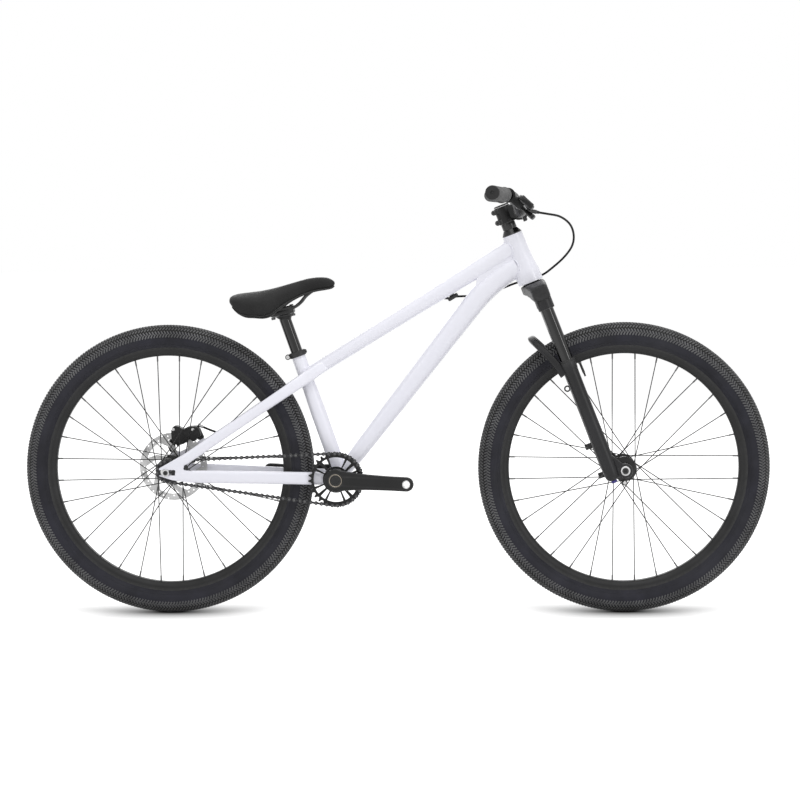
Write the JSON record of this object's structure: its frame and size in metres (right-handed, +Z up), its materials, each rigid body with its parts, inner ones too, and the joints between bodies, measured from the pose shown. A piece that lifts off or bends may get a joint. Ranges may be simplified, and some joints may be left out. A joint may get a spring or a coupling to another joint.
{
  "type": "dirt jump bike",
  "caption": "Dirt jump bicycle with a low sloping frame, knobbly tyres, a short-travel fork, a wide riser bar, a padded saddle, a chain drive and a rear disc brake. It has no pedals.",
  "frame": {"origin": "on the ground, midway between the two axles", "axes": "+X forward along the bike, +Y to the bike's left, +Z up"},
  "size_m": [1.7302, 0.7904, 0.9854],
  "materials": {
    "frame_paint": "gloss",
    "black_alloy": "satin",
    "black_plastic": "matte",
    "hose": "satin",
    "chain_steel": "satin",
    "bright_steel": "satin",
    "dark_steel": "satin",
    "tyre_rubber": "matte",
    "grip_rubber": "matte",
    "saddle_cover": "matte",
    "fork_paint": "satin",
    "stanchion_finish": "gloss",
    "knob_finish": "satin"
  },
  "bodies": {
    "frame": {"top_tube": "frame_paint", "down_tube": "frame_paint", "seat_tube": "frame_paint", "chainstay_right": "frame_paint", "chainstay_left": "frame_paint", "seatstay_right": "frame_paint", "seatstay_left": "frame_paint", "dropout_right": "frame_paint", "dropout_left": "frame_paint", "brake_mount": "frame_paint", "head_tube": "frame_paint", "bottom_bracket_shell": "frame_paint", "chain_tensioner_right": "black_alloy", "chain_tensioner_left": "black_alloy", "rear_brake_caliper": "black_alloy", "hose_guide": "black_plastic", "brake_hose_frame": "hose", "brake_hose_loop": "hose", "chain": "chain_steel", "bb_cup_right": "black_alloy", "bb_cup_left": "black_alloy", "rear_axle": "bright_steel", "seat_clamp": "black_alloy", "headset_lower_bearing": "bright_steel", "headset_upper_bearing": "bright_steel"},
    "seat": {"seatpost": "black_alloy", "rail_clamp": "black_alloy", "saddle_rails": "dark_steel", "saddle": "saddle_cover"},
    "steering": {"headset_cover": "black_alloy", "headset_spacer": "black_alloy", "stem": "black_alloy", "stem_faceplate": "black_alloy", "top_cap": "black_alloy", "handlebar": "black_alloy", "grip_right": "grip_rubber", "grip_left": "grip_rubber", "brake_lever_body": "black_alloy", "fork_crown": "fork_paint", "stanchion_right": "stanchion_finish", "stanchion_left": "stanchion_finish"},
    "brake_lever": {"brake_lever_blade": "black_alloy"},
    "lower_legs": {"fork_lowers": "fork_paint", "fork_seal_right": "black_plastic", "fork_seal_left": "black_plastic", "front_axle": "bright_steel"},
    "rebound_adjuster": {"rebound_knob": "knob_finish"},
    "front_wheel": {"front_tyre": "tyre_rubber", "front_rim": "black_alloy", "front_hub_and_spokes": "black_alloy"},
    "rear_wheel": {"rear_tyre": "tyre_rubber", "rear_rim": "black_alloy", "rear_hub_and_spokes": "black_alloy", "rear_brake_rotor": "bright_steel"},
    "rear_cog": {"cog": "chain_steel", "freewheel_body": "bright_steel"},
    "crank": {"crank_spindle": "bright_steel", "crank_arm_right": "black_alloy", "crank_arm_left": "black_alloy", "chainring": "black_alloy"}
  },
  "joints": [
    {"name": "seatpost_height", "type": "slide", "parent": "frame", "child": "seat", "axis": [-0.3264, 0, 0.9452], "range_m": [-0.075, 0.03]},
    {"name": "steering_turn", "type": "hinge", "parent": "frame", "child": "steering", "pos_m": [0.31447, 0, 0.76807], "axis": [-0.3616, 0, 0.9323], "range_deg": [-70, 70], "deforming": ["brake_hose_loop"]},
    {"name": "brake_lever_squeeze", "type": "hinge", "parent": "steering", "child": "brake_lever", "pos_m": [0.28257, -0.205, 0.94416], "axis": [-0.673, 0, -0.7396], "range_deg": [0, 18], "stiffness_Nm_per_rad": 0.6, "springref_deg": -17.19},
    {"name": "fork_travel", "type": "slide", "parent": "steering", "child": "lower_legs", "axis": [-0.3616, 0, 0.9323], "range_m": [0, 0.1], "stiffness_N_per_m": 8000, "springref_m": -0.015},
    {"name": "rebound_knob_turn", "type": "hinge", "parent": "lower_legs", "child": "rebound_adjuster", "pos_m": [0.5008, -0.066, 0.31695], "axis": [-0.3616, 0, 0.9323], "range_deg": [-180, 180]},
    {"name": "front_wheel_spin", "type": "hinge", "parent": "lower_legs", "child": "front_wheel", "pos_m": [0.5276, 0, 0.3375], "axis": [0, 1, 0], "continuous": true},
    {"name": "rear_wheel_spin", "type": "hinge", "parent": "frame", "child": "rear_wheel", "pos_m": [-0.5276, 0, 0.3375], "axis": [0, 1, 0], "continuous": true},
    {"name": "crank_spin", "type": "hinge", "parent": "frame", "child": "crank", "pos_m": [-0.13693, 0, 0.3171], "axis": [0, 1, 0], "continuous": true, "deforming": ["chain"]},
    {"name": "cog_spin", "type": "hinge", "parent": "frame", "child": "rear_cog", "pos_m": [-0.5276, 0, 0.3375], "axis": [0, 1, 0], "continuous": true, "deforming": ["chain"]}
  ],
  "couplings": [
    {"joint": "cog_spin", "follows": "crank_spin", "ratio": 2.5}
  ]
}
